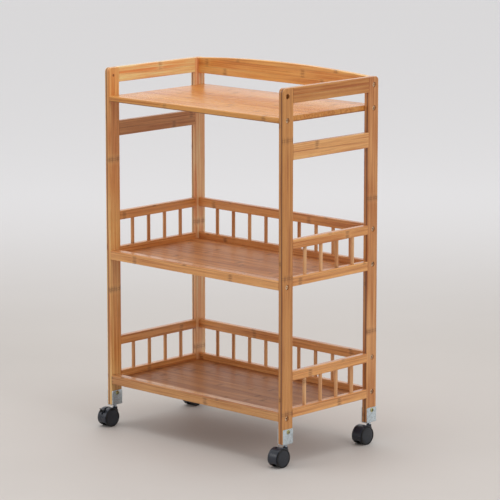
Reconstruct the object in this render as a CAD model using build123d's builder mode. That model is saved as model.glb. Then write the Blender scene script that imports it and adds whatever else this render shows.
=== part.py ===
from build123d import *
import math
import os

# A three-tier bamboo utility cart on four twin-wheel swivel casters.
# Frame: origin on the floor under the middle of the cart, +X right along the
# long side, the open front faces -Y, +Z up. All sizes are in millimetres.

# ---- driving dimensions -------------------------------------------------
WIDTH = 530                 # over the outer faces of the two side frames
DEPTH = 298                 # over the front and back faces of the legs
LEG_TOP = 800               # top of the legs above the floor
STOCK = 13                  # thickness of the side frame timber
LEG_DEPTH = 31
EDGE = 1.5                  # roundover along the timber's edges
LEG_CORNER = 9              # big rounding at the outer top corner of a leg
SHELF_EDGE = 2              # roundover along the top shelf's long edges

TOP_SURFACE = 738.5         # upper face of the top shelf
MIDDLE_SURFACE = 388
LOWER_SURFACE = 107
TOP_PANEL = 12              # thickness of the top shelf
TIER_PANEL = 8              # thickness of the middle and lower shelves

TOP_RAIL = (767, 800)       # underside and top of each side's top rail
TOWEL_RAIL = (648.5, 681.5)
SLIM = 20                   # height of guard rails, low rails and front bars
LOW_RAIL_RISE = 14          # top of a low rail above its shelf surface
GUARD_RISE = 93             # top of a guard rail above its shelf surface
FRONT_RISE = 8              # top of a front bar above its shelf surface
FRONT_BAR_DEPTH = 20
FRONT_BAR_NOSE = 3          # roundover along the top front edge

ARCH_BOTTOM = 765
ARCH_END = 799.5
ARCH_PEAK = 809

SPINDLE = 8                 # diameter of the guard spindles
SPINDLE_PITCH = 50
SPINDLE_TENON = 7           # how far each end goes into its rail
SIDE_SPINDLES = 4
BACK_SPINDLES = 9

BOLT_INSET = 13.5           # bolt line from the outer edge of a leg
FRONT_BOLT_DROP = 5.5       # front bar's bolts below the shelf surface
LOW_BOLT_RISE = 6.5         # back low rail's bolts above the shelf surface
PEG_HEIGHT = 782.5          # arched rail's bolts, and the spare holes of the front legs
BOLT = 6                    # M6 frame bolts
BOLT_HEAD = 10
BOLT_HEAD_HEIGHT = 5
BOLT_CLEARANCE_HOLE = 6.5
COUNTERBORE = 11
COUNTERBORE_DEPTH = 6
HEX_KEY = 4
HEX_DEPTH = 3
BOLT_REACH = 14             # bolt length beyond the inner face of the leg
INSERT = 9                  # outside of the threaded inserts
INSERT_LENGTH = 13
DOWEL = 6
DOWEL_LENGTH = 24
DOWEL_SPREAD = 8            # two dowels of a deep rail, from its middle
HOLE_ROOM = 0.5             # spare depth of a glued dowel's or spindle's hole
INSERT_ROOM = 1
FIT_GAP = 0.05              # radial gap of glued dowels, spindles and inserts

# ---- casters --------------------------------------------------------------
LEG_BOTTOM = 47
PLATE = 1.6                 # steel of the U brackets
BRACKET_TOP = 79
BRACKET_DEPTH = 30
BRACKET_BEND = 2.4          # outside radius of the bracket's bends
SCREW_HEIGHT = 73
SCREW_HEAD = 9.5
SCREW_HEAD_HEIGHT = 2.4
SCREW_HEAD_EDGE = 1.4
SCREW_SHANK = 3.5
SCREW_REACH = 5.5           # screw length inside the leg
WHEEL = 40                  # wheel diameter
TRAIL = 20                  # axle behind the swivel axis
TRACK = 30                  # over the outer faces of a pair of wheels
CHEEK = 9                   # thickness of the housing between the wheels
WHEEL_GAP = 0.6             # between a wheel and the housing
AXLE = 5
AXLE_LENGTH = 24
STEM = 6
STEM_FOOT = 14              # height of the stem's lower end
STEM_SOCKET = 22            # depth of the stem hole in the leg's end grain
STEM_ROOM = 1               # spare depth past either end of the stem
SHOULDER = 8.5
COLLAR = 11
COLLAR_TOP = 40
RUNNING = 0.05              # radial clearance of the running fits
WEB_RADIUS = 17             # housing around the axle
HOOD_GAP = 0.8              # between the treads and the hood over them
HOOD_WALL = 1.5
HOOD_WIDTH = 25
HOOD_ARC = (45, 205)        # degrees about the axle, from the stem's side over the top
LEVER_WIDTH = 4
LEVER_PIN = 3
LEVER_PIVOT = (-18, 34)     # Y from the swivel axis, Z above the floor
LEVER_PAD = 17              # width of the foot pad
SLOT_GAP = 0.4              # each side of the lever in its slot
SLOT_FLOOR = 28.5
SLOT_CLEAR = 4.4            # slot in front of the lever's pivot
SHOULDER_GAP = 0.3          # between the stem's shoulder and the collar
COLLAR_FOOT = 33
HUB = 7                     # radius of the wheel's hub
HUB_RECESS = 3.5            # depth of the hollow between hub and rim
RIM_WALL = 4.5
RIM_EDGE = 1                # small chamfer at the tread's inner edge
RIM_INSET = 0.6             # rim face behind the crown of the cap
CAP_GROOVE = (0.9, 0.6)     # depth and width of the groove round the cap
AXLE_ROOM = 0.3             # spare depth at the axle's ends
DOME = 16.8                 # radius of the wheel's domed cap
TREAD_CURVE = 2
BRACKET_CORNER = 2
CROSS_ARM = (5, 1.3)        # screwdriver recess
CROSS_DEPTH = 1.2
LEVER_HUB = 3.2
PAD_FOOT = 36.5
PAD_THICKNESS = 2.5
PAD_WINDOW = (18.6, -33.4, 32.6)   # width, Y and Z where the hood is open for the pad
# Outlines from the swivel axis: (Y, Z) of the housing's neck and the lever's arm,
# and (X, Y) of the lever's notched pad.
NECK = [(-20, 4), (-4, 7), (5.5, 14), (5.5, 36), (-8, 36), (-20, 37)]
LEVER_ARM = [(-18, 31.6), (-18, 36.4), (-36, 39), (-36, 36.5)]
PAD_OUTLINE = [(-LEVER_PAD / 2, -35), (LEVER_PAD / 2, -35), (LEVER_PAD / 2, -39.8),
               (1.5, -38), (-1.5, -38), (-LEVER_PAD / 2, -39.8)]

# ---- derived places -------------------------------------------------------
OUT_X = WIDTH / 2
IN_X = OUT_X - STOCK
MID_X = OUT_X - STOCK / 2
OUT_Y = DEPTH / 2
IN_Y = OUT_Y - LEG_DEPTH
LEG_Y = OUT_Y - LEG_DEPTH / 2
BOLT_Y = OUT_Y - BOLT_INSET
SIDES = {"left": -1, "right": 1}
ENDS = {"front": -1, "back": 1}
TIERS = {"middle": MIDDLE_SURFACE, "lower": LOWER_SURFACE}

SHELF_BOLT = TOP_SURFACE - TOP_PANEL / 2
FRONT_BOLTS = [z - FRONT_BOLT_DROP for z in TIERS.values()]
LOW_RAIL_BOLTS = [z + LOW_BOLT_RISE for z in TIERS.values()]
GUARD_BOLTS = [z + GUARD_RISE - SLIM / 2 for z in TIERS.values()]
FRONT_LEG_BOLTS = [SHELF_BOLT] + FRONT_BOLTS
BACK_LEG_BOLTS = [PEG_HEIGHT, SHELF_BOLT] + GUARD_BOLTS + LOW_RAIL_BOLTS

HOOD_IN = WHEEL / 2 + HOOD_GAP
HOOD_OUT = HOOD_IN + HOOD_WALL

# Every caster trails to the front, so the front casters reach past the legs.
# The frame's origin is under the middle of the whole cart, casters included.
FOREMOST = -(LEG_Y + TRAIL + HOOD_OUT)
TO_ORIGIN = Location((0, -(FOREMOST + OUT_Y) / 2, 0))

os.makedirs("parts", exist_ok=True)


def save(builder, name):
    builder.part = builder.part.moved(TO_ORIGIN)
    builder.part.label = name
    export_step(builder.part, f"parts/{name}.step")


def spaced(count, pitch):
    return [(i - (count - 1) / 2) * pitch for i in range(count)]


def rail_levels(surface, rise):
    return surface + rise - SLIM, surface + rise


def facing(side, x, y=0, z=0):
    """A plane at x that looks out of the left (-1) or right (1) side, local X along +Y."""
    return Plane((x, y, z), x_dir=(0, 1, 0), z_dir=(side, 0, 0))


# ---- side frames ----------------------------------------------------------
SIDE_RAILS = {"top_rail": TOP_RAIL, "towel_rail": TOWEL_RAIL}
for tier, surface in TIERS.items():
    SIDE_RAILS[f"{tier}_guard_rail"] = rail_levels(surface, GUARD_RISE)
    SIDE_RAILS[f"{tier}_low_rail"] = rail_levels(surface, LOW_RAIL_RISE)


def dowel_heights(bottom, top):
    """One dowel in a slim rail, two in a deep one."""
    middle = (bottom + top) / 2
    return [middle] if top - bottom <= SLIM else [middle - DOWEL_SPREAD, middle + DOWEL_SPREAD]


def leg(name, side, end, bolts):
    """A leg: side -1 left or 1 right, end -1 front or 1 back."""
    with BuildPart() as part:
        with BuildSketch(Plane.YZ.offset(side * MID_X)):
            with Locations((end * LEG_Y, (LEG_BOTTOM + LEG_TOP) / 2)):
                Rectangle(LEG_DEPTH, LEG_TOP - LEG_BOTTOM)
        extrude(amount=STOCK / 2, both=True)
        top_edges = part.edges().filter_by(Axis.X).group_by(Axis.Z)[-1]
        fillet(top_edges.sort_by(Axis.Y)[0 if end < 0 else -1], LEG_CORNER)
        for face in part.faces().filter_by(Axis.X):
            fillet(face.edges(), EDGE)
        with Locations(facing(side, side * OUT_X)):
            with Locations([(end * BOLT_Y, z * side) for z in bolts]):
                CounterBoreHole(BOLT_CLEARANCE_HOLE / 2, COUNTERBORE / 2, COUNTERBORE_DEPTH)
            with Locations((end * LEG_Y, SCREW_HEIGHT * side)):
                Hole(SCREW_SHANK / 2 + FIT_GAP)
        for bottom, top in SIDE_RAILS.values():
            for z in dowel_heights(bottom, top):
                with Locations(Plane((side * MID_X, end * IN_Y, z), z_dir=(0, -end, 0))):
                    Hole(DOWEL / 2 + FIT_GAP, DOWEL_LENGTH / 2 + HOLE_ROOM)
        with Locations(Plane((side * MID_X, end * LEG_Y, LEG_BOTTOM), z_dir=(0, 0, -1))):
            Hole(STEM / 2 + FIT_GAP, STEM_SOCKET)
    save(part, name)


def side_rail(name, side, kind, bottom, top):
    """A rail between a front and a back leg, drilled for its dowels and spindles."""
    with BuildPart() as part:
        with BuildSketch(Plane.YZ.offset(side * MID_X)):
            with Locations((0, (bottom + top) / 2)):
                Rectangle(2 * IN_Y, top - bottom)
        extrude(amount=STOCK / 2, both=True)
        fillet(part.edges().filter_by(Axis.Y), EDGE)
        for end in ENDS.values():
            for z in dowel_heights(bottom, top):
                with Locations(Plane((side * MID_X, end * IN_Y, z), z_dir=(0, end, 0))):
                    Hole(DOWEL / 2 + FIT_GAP, DOWEL_LENGTH / 2 + HOLE_ROOM)
        if kind != "deep":
            spindle_face = bottom if kind == "guard" else top
            normal = -1 if kind == "guard" else 1
            for y in spaced(SIDE_SPINDLES, SPINDLE_PITCH):
                with Locations(Plane((side * MID_X, y, spindle_face), z_dir=(0, 0, normal))):
                    Hole(SPINDLE / 2 + FIT_GAP, SPINDLE_TENON + HOLE_ROOM)
    save(part, name)


def rail_kind(name):
    return "guard" if "guard" in name else "low" if "low_rail" in name else "deep"


for side_name, side in SIDES.items():
    leg(f"front_{side_name}_leg", side, -1, [PEG_HEIGHT] + FRONT_LEG_BOLTS)
    leg(f"back_{side_name}_leg", side, 1, BACK_LEG_BOLTS)
    for rail_name, (bottom, top) in SIDE_RAILS.items():
        side_rail(f"{side_name}_{rail_name}", side, rail_kind(rail_name), bottom, top)

with BuildPart() as rail_dowels:
    for side in SIDES.values():
        for end in ENDS.values():
            for bottom, top in SIDE_RAILS.values():
                for z in dowel_heights(bottom, top):
                    with Locations(Plane((side * MID_X, end * IN_Y, z), z_dir=(0, 1, 0))):
                        Cylinder(DOWEL / 2, DOWEL_LENGTH)
save(rail_dowels, "rail_dowels")


# ---- spindles -------------------------------------------------------------
def spindles(name, places):
    """Round spindles between the low rail and the guard rail of both tiers."""
    with BuildPart() as part:
        for surface in TIERS.values():
            foot = surface + LOW_RAIL_RISE - SPINDLE_TENON
            head = surface + GUARD_RISE - SLIM + SPINDLE_TENON
            with BuildSketch(Plane.XY.offset(foot)):
                with Locations(places):
                    Circle(SPINDLE / 2)
            extrude(amount=head - foot)
    save(part, name)


for side_name, side in SIDES.items():
    spindles(f"{side_name}_spindles",
             [(side * MID_X, y) for y in spaced(SIDE_SPINDLES, SPINDLE_PITCH)])
spindles("back_spindles", [(x, BOLT_Y) for x in spaced(BACK_SPINDLES, SPINDLE_PITCH)])


# ---- rails between the back legs, front bars and shelves --------------------
def insert_holes(y, z):
    """A hole for a threaded insert in each end of a cross piece."""
    for side in SIDES.values():
        with Locations(facing(side, side * IN_X, y, z)):
            Hole(INSERT / 2 + FIT_GAP, BOLT_REACH + INSERT_ROOM)


def back_rail(name, kind, bottom, top, bolt_z):
    with BuildPart() as part:
        with BuildSketch(Plane.XZ.offset(-BOLT_Y)):
            with Locations((0, (bottom + top) / 2)):
                Rectangle(2 * IN_X, top - bottom)
        extrude(amount=STOCK / 2, both=True)
        fillet(part.edges().filter_by(Axis.X), EDGE)
        insert_holes(BOLT_Y, bolt_z)
        spindle_face = bottom if kind == "guard" else top
        normal = -1 if kind == "guard" else 1
        for x in spaced(BACK_SPINDLES, SPINDLE_PITCH):
            with Locations(Plane((x, BOLT_Y, spindle_face), z_dir=(0, 0, normal))):
                Hole(SPINDLE / 2 + FIT_GAP, SPINDLE_TENON + HOLE_ROOM)
    save(part, name)


for tier, surface in TIERS.items():
    guard = rail_levels(surface, GUARD_RISE)
    low = rail_levels(surface, LOW_RAIL_RISE)
    back_rail(f"back_{tier}_guard_rail", "guard", *guard, surface + GUARD_RISE - SLIM / 2)
    back_rail(f"back_{tier}_low_rail", "low", *low, surface + LOW_BOLT_RISE)

with BuildPart() as arched_rail:
    with BuildSketch(Plane.XZ.offset(-BOLT_Y)):
        with BuildLine():
            Polyline((IN_X, ARCH_END), (IN_X, ARCH_BOTTOM), (-IN_X, ARCH_BOTTOM), (-IN_X, ARCH_END))
            ThreePointArc((-IN_X, ARCH_END), (0, ARCH_PEAK), (IN_X, ARCH_END))
        make_face()
    extrude(amount=STOCK / 2, both=True)
    long_edges = arched_rail.edges().filter_by(lambda e: e.length > IN_X)
    fillet(long_edges, EDGE)
    insert_holes(BOLT_Y, PEG_HEIGHT)
save(arched_rail, "arched_back_rail")

for tier, surface in TIERS.items():
    with BuildPart() as front_bar:
        with BuildSketch(Plane.YZ):
            with Locations((FRONT_BAR_DEPTH / 2 - OUT_Y, surface + FRONT_RISE - SLIM / 2)):
                Rectangle(FRONT_BAR_DEPTH, SLIM)
        extrude(amount=IN_X, both=True)
        long_edges = front_bar.edges().filter_by(Axis.X)
        upper = long_edges.group_by(Axis.Z)[-1]
        fillet(upper.sort_by(Axis.Y)[0], FRONT_BAR_NOSE)
        lower_front = front_bar.edges().filter_by(Axis.X).group_by(Axis.Z)[0].sort_by(Axis.Y)[0]
        fillet(lower_front, EDGE)
        insert_holes(-BOLT_Y, surface - FRONT_BOLT_DROP)
    save(front_bar, f"{tier}_front_bar")

    back_edge = BOLT_Y - STOCK / 2
    front_edge = FRONT_BAR_DEPTH - OUT_Y
    with BuildPart() as shelf:
        with BuildSketch(Plane.XY.offset(surface)):
            with Locations((0, (front_edge + back_edge) / 2)):
                Rectangle(2 * IN_X, back_edge - front_edge)
        extrude(amount=-TIER_PANEL)
    save(shelf, f"{tier}_shelf")

with BuildPart() as top_shelf:
    with BuildSketch(Plane.XY.offset(TOP_SURFACE)):
        Rectangle(2 * IN_X, DEPTH)
    extrude(amount=-TOP_PANEL)
    fillet(top_shelf.edges().filter_by(Axis.X), SHELF_EDGE)
    for end in ENDS.values():
        insert_holes(end * BOLT_Y, SHELF_BOLT)
save(top_shelf, "top_shelf")


# ---- frame fasteners ------------------------------------------------------
def bolt_places():
    """Every used bolt position as (side, y, z)."""
    for side in SIDES.values():
        for z in FRONT_LEG_BOLTS:
            yield side, -BOLT_Y, z
        for z in BACK_LEG_BOLTS:
            yield side, BOLT_Y, z


with BuildPart() as frame_bolts:
    for side, y, z in bolt_places():
        seat = facing(side, side * (OUT_X - COUNTERBORE_DEPTH), y, z)
        with BuildSketch(seat):
            Circle(BOLT_HEAD / 2)
        extrude(amount=BOLT_HEAD_HEIGHT)
        with BuildSketch(seat):
            Circle(BOLT / 2)
        extrude(amount=-(STOCK - COUNTERBORE_DEPTH + BOLT_REACH))
        with BuildSketch(seat.offset(BOLT_HEAD_HEIGHT)):
            RegularPolygon(HEX_KEY / 2, 6, major_radius=False)
        extrude(amount=-HEX_DEPTH, mode=Mode.SUBTRACT)
save(frame_bolts, "frame_bolts")

with BuildPart() as threaded_inserts:
    for side, y, z in bolt_places():
        with BuildSketch(facing(side, side * IN_X, y, z)):
            Circle(INSERT / 2)
            Circle(BOLT / 2 + FIT_GAP, mode=Mode.SUBTRACT)
        extrude(amount=-INSERT_LENGTH)
save(threaded_inserts, "threaded_inserts")

# ---- caster brackets and their screws ---------------------------------------
OUTER_PLATE = STOCK / 2 + PLATE
for side_name, side in SIDES.items():
    for end_name, end in ENDS.items():
        leg_x = side * MID_X
        leg_y = end * LEG_Y
        with BuildPart() as bracket:
            with BuildSketch(Plane.XZ.offset(-leg_y)):
                with Locations((leg_x, (BRACKET_TOP + LEG_BOTTOM - PLATE) / 2)):
                    Rectangle(2 * OUTER_PLATE, BRACKET_TOP - LEG_BOTTOM + PLATE)
                with Locations((leg_x, (BRACKET_TOP + LEG_BOTTOM) / 2)):
                    Rectangle(STOCK, BRACKET_TOP - LEG_BOTTOM, mode=Mode.SUBTRACT)
            extrude(amount=BRACKET_DEPTH / 2, both=True)
            fillet(bracket.edges().filter_by(Axis.Y).group_by(Axis.Z)[0], BRACKET_BEND)
            fillet(bracket.edges().filter_by(Axis.X).group_by(Axis.Z)[-1], BRACKET_CORNER)
            with Locations(facing(1, leg_x + OUTER_PLATE, leg_y, SCREW_HEIGHT)):
                Hole(SCREW_SHANK / 2 + FIT_GAP)
            with Locations((leg_x, leg_y, LEG_BOTTOM)):
                Hole(STEM / 2 + FIT_GAP)
        save(bracket, f"{end_name}_{side_name}_bracket")

with BuildPart() as bracket_screws:
    for side in SIDES.values():
        for end in ENDS.values():
            for face in (-1, 1):
                seat = facing(face, side * MID_X + face * OUTER_PLATE, end * LEG_Y, SCREW_HEIGHT)
                with BuildSketch(seat):
                    Circle(SCREW_HEAD / 2)
                head = extrude(amount=SCREW_HEAD_HEIGHT)
                crown = head.edges().group_by(lambda e: abs(e.center().X - side * MID_X))[-1]
                fillet(crown, SCREW_HEAD_EDGE)
                with BuildSketch(seat):
                    Circle(SCREW_SHANK / 2)
                extrude(amount=-(PLATE + SCREW_REACH))
                with BuildSketch(seat.offset(SCREW_HEAD_HEIGHT)):
                    Rectangle(*CROSS_ARM)
                    Rectangle(*reversed(CROSS_ARM))
                extrude(amount=-CROSS_DEPTH, mode=Mode.SUBTRACT)
save(bracket_screws, "bracket_screws")


# ---- casters --------------------------------------------------------------
with BuildPart() as caster_stems:
    for side in SIDES.values():
        for end in ENDS.values():
            place = (side * MID_X, end * LEG_Y)
            with BuildSketch(Plane.XY.offset(STEM_FOOT)):
                with Locations(place):
                    Circle(STEM / 2)
            extrude(amount=LEG_BOTTOM + STEM_SOCKET - STEM_ROOM - STEM_FOOT)
            with BuildSketch(Plane.XY.offset(COLLAR_TOP + SHOULDER_GAP)):
                with Locations(place):
                    Circle(SHOULDER / 2)
            extrude(amount=LEG_BOTTOM - PLATE - COLLAR_TOP - SHOULDER_GAP)
save(caster_stems, "caster_stems")


def hood_wedge(axle_y):
    """The corners of a wedge from the axle that takes in the hood's arc, as (Y, Z)."""
    start, stop = HOOD_ARC
    turns = [start + i * (stop - start) / 4 for i in range(5)]
    far = [(axle_y + WHEEL * math.cos(math.radians(a)), WHEEL / 2 + WHEEL * math.sin(math.radians(a)))
           for a in turns]
    return [(axle_y, WHEEL / 2)] + far


def hood_section(axle_y, hollow):
    """The hood seen from the side, as a band over the treads or as a whole sector."""
    with Locations((axle_y, WHEEL / 2)):
        Circle(HOOD_OUT)
        if hollow:
            Circle(HOOD_IN, mode=Mode.SUBTRACT)
    Polygon(*hood_wedge(axle_y), align=None, mode=Mode.INTERSECT)


def housing(name, x, y, braked):
    """The web between the wheels and the hood over them, with the stem socket and the axle hole."""
    axle_y = y - TRAIL
    with BuildPart() as part:
        with BuildSketch(Plane.YZ.offset(x)):
            hood_section(axle_y, hollow=True)
        extrude(amount=HOOD_WIDTH / 2, both=True)
        with BuildSketch(Plane.YZ.offset(x)):
            hood_section(axle_y, hollow=False)
        extrude(amount=CHEEK / 2, both=True)
        with BuildSketch(Plane.YZ.offset(x)):
            with Locations((axle_y, WHEEL / 2)):
                Circle(WEB_RADIUS)
            with BuildLine():
                Polyline(*[(y + u, z) for u, z in NECK], close=True)
            make_face()
        extrude(amount=CHEEK / 2, both=True)
        with BuildSketch(Plane.XY.offset(COLLAR_FOOT)):
            with Locations((x, y)):
                Circle(COLLAR / 2)
        extrude(amount=COLLAR_TOP - COLLAR_FOOT)
        with Locations((x, y, COLLAR_TOP)):
            Hole(STEM / 2 + RUNNING, COLLAR_TOP - STEM_FOOT + STEM_ROOM)
        with Locations(facing(1, x + CHEEK / 2, axle_y, WHEEL / 2)):
            Hole(AXLE / 2 + FIT_GAP)
        if braked:
            pivot_y, pivot_z = y + LEVER_PIVOT[0], LEVER_PIVOT[1]
            slot_front = pivot_y + SLOT_CLEAR
            with BuildSketch(Plane.YZ.offset(x)):
                with Locations((slot_front, SLOT_FLOOR)):
                    Rectangle(WHEEL, WHEEL, align=(Align.MAX, Align.MIN))
            extrude(amount=LEVER_WIDTH / 2 + SLOT_GAP, both=True, mode=Mode.SUBTRACT)
            window_width, window_y, window_z = PAD_WINDOW
            with BuildSketch(Plane.YZ.offset(x)):
                with Locations((y + window_y, window_z)):
                    Rectangle(WHEEL, WHEEL, align=(Align.MAX, Align.MIN))
            extrude(amount=window_width / 2, both=True, mode=Mode.SUBTRACT)
            with Locations(facing(1, x + CHEEK / 2, pivot_y, pivot_z)):
                Hole(LEVER_PIN / 2 + FIT_GAP)
    save(part, name)


def wheel(name, x, y, side):
    """One wheel: side -1 or 1 of the housing, with a domed outer face."""
    inner = CHEEK / 2 + WHEEL_GAP
    rim = TRACK / 2 - RIM_INSET
    radius = WHEEL / 2
    groove_depth, groove_width = CAP_GROOVE
    dome_foot = rim - groove_depth
    dome_rise = TRACK / 2 - dome_foot
    dome_radius = (DOME ** 2 + dome_rise ** 2) / (2 * dome_rise)
    bore = AXLE / 2 + RUNNING
    bore_end = AXLE_LENGTH / 2 + AXLE_ROOM
    recess = inner + HUB_RECESS
    axis = Plane((x, y - TRAIL, radius), x_dir=(side, 0, 0), z_dir=(0, -side, 0))
    with BuildPart() as part:
        with BuildSketch(axis):
            with BuildLine():
                Polyline((bore_end, 0), (bore_end, bore), (inner, bore), (inner, HUB), (recess, HUB),
                         (recess, radius - RIM_WALL), (inner, radius - RIM_WALL),
                         (inner, radius - RIM_EDGE), (inner + RIM_EDGE, radius),
                         (rim - TREAD_CURVE, radius))
                RadiusArc((rim - TREAD_CURVE, radius), (rim, radius - TREAD_CURVE), TREAD_CURVE)
                Polyline((rim, radius - TREAD_CURVE), (rim, DOME + groove_width), (dome_foot, DOME))
                RadiusArc((dome_foot, DOME), (TRACK / 2, 0), dome_radius)
                Line((TRACK / 2, 0), (bore_end, 0))
            make_face()
        revolve(axis=Axis((x, y - TRAIL, radius), (1, 0, 0)))
    save(part, name)


def axle(name, x, y):
    with BuildPart() as part:
        with BuildSketch(Plane.YZ.offset(x)):
            with Locations((y - TRAIL, WHEEL / 2)):
                Circle(AXLE / 2)
        extrude(amount=AXLE_LENGTH / 2, both=True)
    save(part, name)


def brake(prefix, x, y):
    """The brake's lever, with a notched foot pad behind the wheels, and its pin."""
    pivot_y, pivot_z = y + LEVER_PIVOT[0], LEVER_PIVOT[1]
    with BuildPart() as lever:
        with BuildSketch(Plane.YZ.offset(x)):
            with Locations((pivot_y, pivot_z)):
                Circle(LEVER_HUB)
            with BuildLine():
                Polyline(*[(y + u, z) for u, z in LEVER_ARM], close=True)
            make_face()
        extrude(amount=LEVER_WIDTH / 2, both=True)
        with BuildSketch(Plane.XY.offset(PAD_FOOT)):
            with BuildLine():
                Polyline(*[(x + v, y + u) for v, u in PAD_OUTLINE], close=True)
            make_face()
        extrude(amount=PAD_THICKNESS)
        with Locations(facing(1, x + LEVER_WIDTH / 2, pivot_y, pivot_z)):
            Hole(LEVER_PIN / 2 + RUNNING)
    save(lever, f"{prefix}_brake_lever")

    with BuildPart() as pin:
        with BuildSketch(Plane.YZ.offset(x)):
            with Locations((pivot_y, pivot_z)):
                Circle(LEVER_PIN / 2)
        extrude(amount=CHEEK / 2, both=True)
    save(pin, f"{prefix}_brake_pin")


for side_name, side in SIDES.items():
    for end_name, end in ENDS.items():
        prefix = f"{end_name}_{side_name}"
        place = (side * MID_X, end * LEG_Y)
        braked = side_name == "left"
        housing(f"{prefix}_caster_housing", *place, braked)
        axle(f"{prefix}_axle", *place)
        wheel(f"{prefix}_outer_wheel", *place, side)
        wheel(f"{prefix}_inner_wheel", *place, -side)
        if braked:
            brake(prefix, *place)
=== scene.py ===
import math

import bmesh
import bpy
from mathutils import Matrix, Vector


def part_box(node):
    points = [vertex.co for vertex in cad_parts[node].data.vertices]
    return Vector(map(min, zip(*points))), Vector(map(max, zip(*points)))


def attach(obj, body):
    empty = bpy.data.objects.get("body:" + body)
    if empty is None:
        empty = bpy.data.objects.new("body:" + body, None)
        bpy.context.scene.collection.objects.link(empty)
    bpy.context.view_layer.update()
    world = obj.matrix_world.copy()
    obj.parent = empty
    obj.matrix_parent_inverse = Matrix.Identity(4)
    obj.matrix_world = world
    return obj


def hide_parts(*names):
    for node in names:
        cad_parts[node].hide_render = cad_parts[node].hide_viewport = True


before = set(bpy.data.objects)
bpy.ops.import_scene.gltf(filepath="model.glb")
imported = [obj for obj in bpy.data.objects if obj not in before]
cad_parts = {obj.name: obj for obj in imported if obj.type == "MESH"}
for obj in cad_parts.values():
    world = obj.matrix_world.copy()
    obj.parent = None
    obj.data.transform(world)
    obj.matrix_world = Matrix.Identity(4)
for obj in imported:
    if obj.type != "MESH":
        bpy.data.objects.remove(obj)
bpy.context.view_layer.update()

MM = 0.001

# ---- the frame's nodes, and sizes in millimetres --------------------------------
NODES = list(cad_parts)
CASTERS = [f"{end}_{side}" for end in ("front", "back") for side in ("left", "right")]

# hood and web; angles are in degrees about the axle, from the stem's side over the top
HOOD_RADIUS = 22.3
HOOD_WALL = 1.5
HOOD_HALF = 12.5
HOOD_CROWN = 0.55             # how far the hood falls away at its two rims
HOOD_ARC = (45, 205)
HOOD_STEP = 4                 # between the hood's rows of points
WEB_RADIUS = 17
WEB_THICK = 9
WEB_END = 312                 # where the web's lower edge meets the neck
WEB_STEP = 6
NECK = ((1.5, 10.5), (5.0, 15), (5.3, 33.5))   # Y from the swivel axis, Z
SLOT_HALF = 2.4
SLOT_ARC = (73, 157.6)
SLOT_CORNER = (-13.6, 28.5)   # Y from the swivel axis, Z
WINDOW_HALF = 9.3
WINDOW_ARC = (127, 145.6)
WINDOW_CORNER = (-33.4, 32.6)
HOOD_COLUMNS = (SLOT_HALF, 6, WINDOW_HALF, 11, 12, HOOD_HALF)

# lever; the pad's sizes are given in its middle, with what is added towards its ends
LEVER_WIDTH = 4
PAD_HALF = 8.5
PAD_UNDERSIDE = (36.7, 2.6)
PAD_FRONT = (-35.0, -0.5)
PAD_BACK = (-38.0, -1.8)
PAD_TILT = 0.5
PAD_THICK = (2.2, -0.7)
PAD_STEPS = 8

# stem, bracket, screws and bolts
COLLAR_RADIUS = 5.5
PLATE = 1.6
PLATE_CORNER = 2.0
PLATE_BEND = 1.6
PLATE_DROPS = (0, 0.12, 0.45, 1.0, PLATE_CORNER, 8)   # rows of points below an upper edge
BEND_STEPS = 6
SCREW_TOP = 2.4
CROSS_ARM = (2.5, 0.62)       # half length and half width of a screw's recess
CROSS_DEPTH = 1.3
HEAD_RADIUS = 5
HEAD_HEIGHT = 5
HEAD_SUNK = 1                 # how much deeper these heads sit than the CAD's, which is not seen
HEX_KEY = 4
KEY_DEPTH = 3

# spindles
SPINDLE_RADIUS = 4.0
SPINDLE_CHAMFER = (0.6, 0.4)  # along and across
SPINDLE_TENON = 7

EDGE = {                      # widths of the bevels
    "hood": 0.30, "cheek": 0.35, "slot": 0.20, "web": 0.50, "arm": 0.50, "pad": 0.45,
    "plate": 0.22, "cross": 0.12, "key": 0.05}


def low_high(node):
    low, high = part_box(node)
    return Vector(low), Vector(high)


def centre(node):
    low, high = low_high(node)
    return (low + high) / 2


def swivel(prefix):
    """X and Y of a caster's swivel axis, in metres."""
    middle = centre(f"{prefix}_bracket")
    return middle.x, middle.y


# ---- camera -------------------------------------------------------------------
CAMERA_AZIMUTH = math.radians(43.47)
CAMERA_ELEVATION = math.radians(10.59)
CAMERA_PLACE = Vector((4.1690, -4.3533, 1.5384))
CAMERA_LENS = 203.2


def add_camera():
    data = bpy.data.cameras.new("camera")
    data.lens = CAMERA_LENS
    data.sensor_width = 36
    data.clip_end = 200
    camera = bpy.data.objects.new("camera", data)
    bpy.context.scene.collection.objects.link(camera)
    camera.location = CAMERA_PLACE
    camera.rotation_euler = (math.pi / 2 - CAMERA_ELEVATION, 0, CAMERA_AZIMUTH)
    bpy.context.scene.camera = camera


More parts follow.
